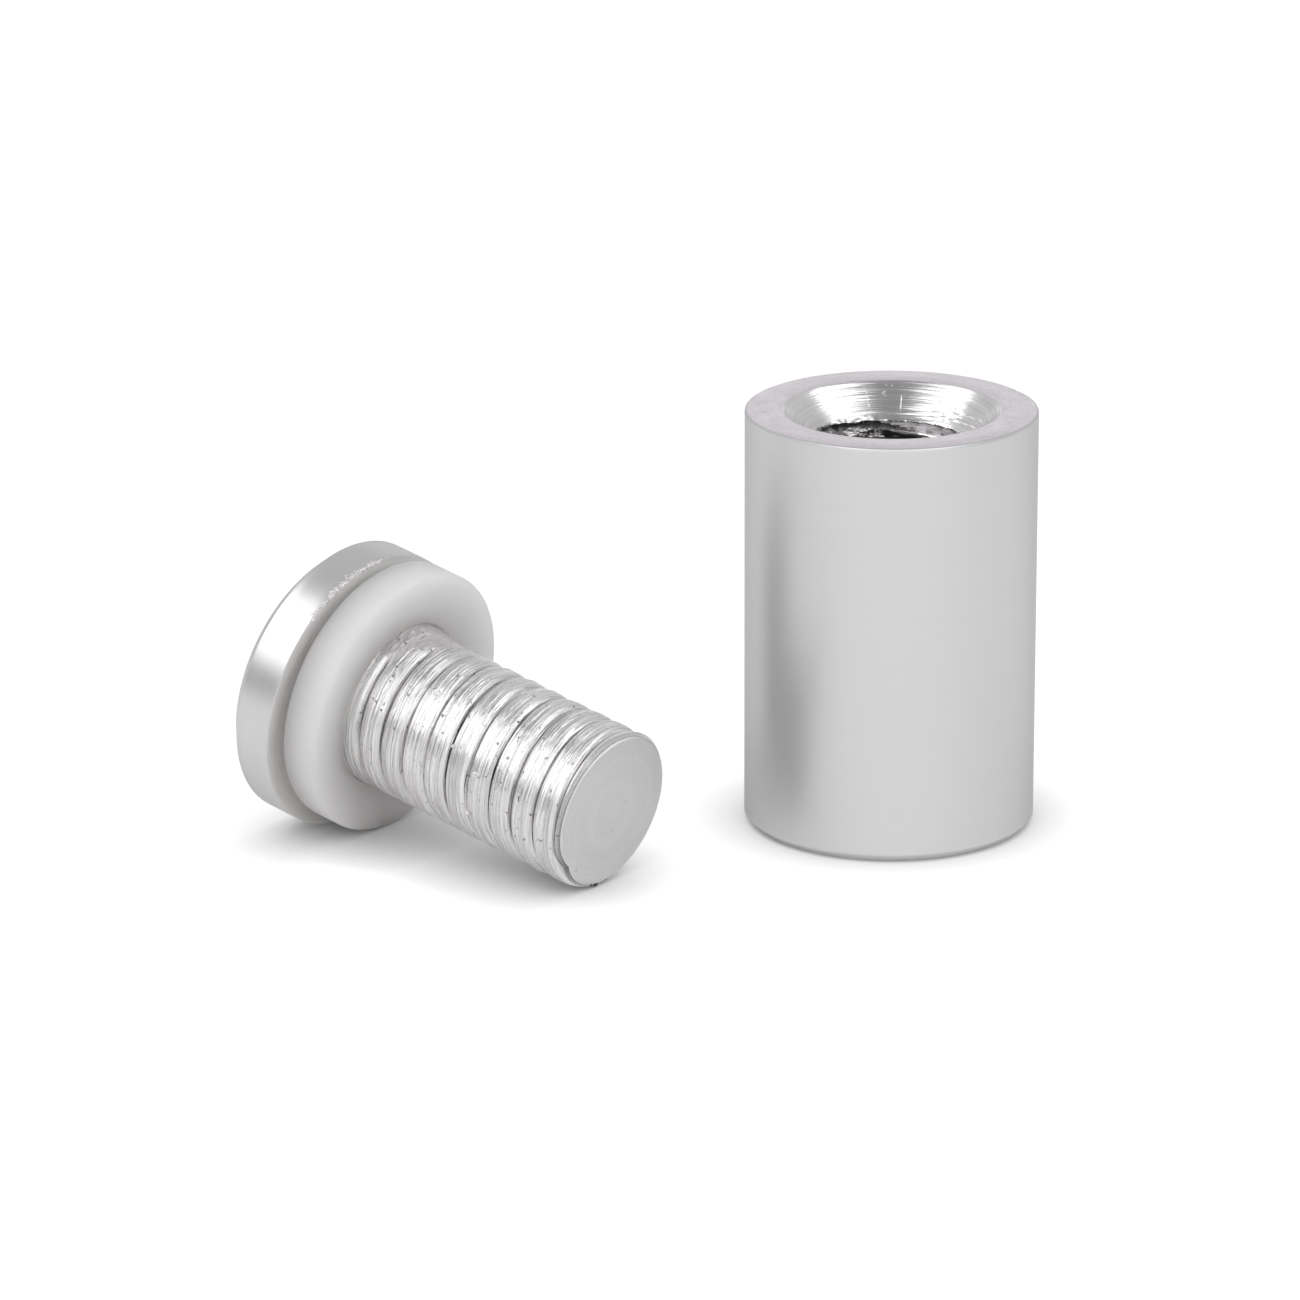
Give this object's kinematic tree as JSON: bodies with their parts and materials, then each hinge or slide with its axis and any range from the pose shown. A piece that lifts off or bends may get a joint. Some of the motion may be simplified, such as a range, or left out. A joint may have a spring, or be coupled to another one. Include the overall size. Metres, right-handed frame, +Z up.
{
  "type": "glass panel standoff",
  "caption": "Turned aluminium standoff for a glass panel, taken apart: a countersunk threaded barrel, a flat-headed cap screw and a soft translucent washer.",
  "frame": {"origin": "middle of the barrel's foot, on the surface that it stands on", "axes": "+Z up along the barrel, towards its countersunk mouth; +X away from the cap screw, to the right in the picture; +Y away from the viewer"},
  "size_m": [0.045, 0.0241, 0.0241],
  "materials": {
    "anodised_aluminium": "clear anodised, finely brushed round the side, fresh-cut in the countersink",
    "turned_aluminium": "clear anodised head, rough-cut bare thread",
    "soft_plastic": "milky, translucent, soft and smooth"
  },
  "bodies": {
    "standoff": {"barrel": "anodised_aluminium", "cap_screw": "turned_aluminium"},
    "washer": {"washer": "soft_plastic"}
  },
  "joints": [
    {"name": "washer_slide", "type": "slide", "parent": "standoff", "child": "washer", "axis": [0.7689, -0.6094, -0.1932], "range_m": [-0.0003, 0.015]}
  ]
}
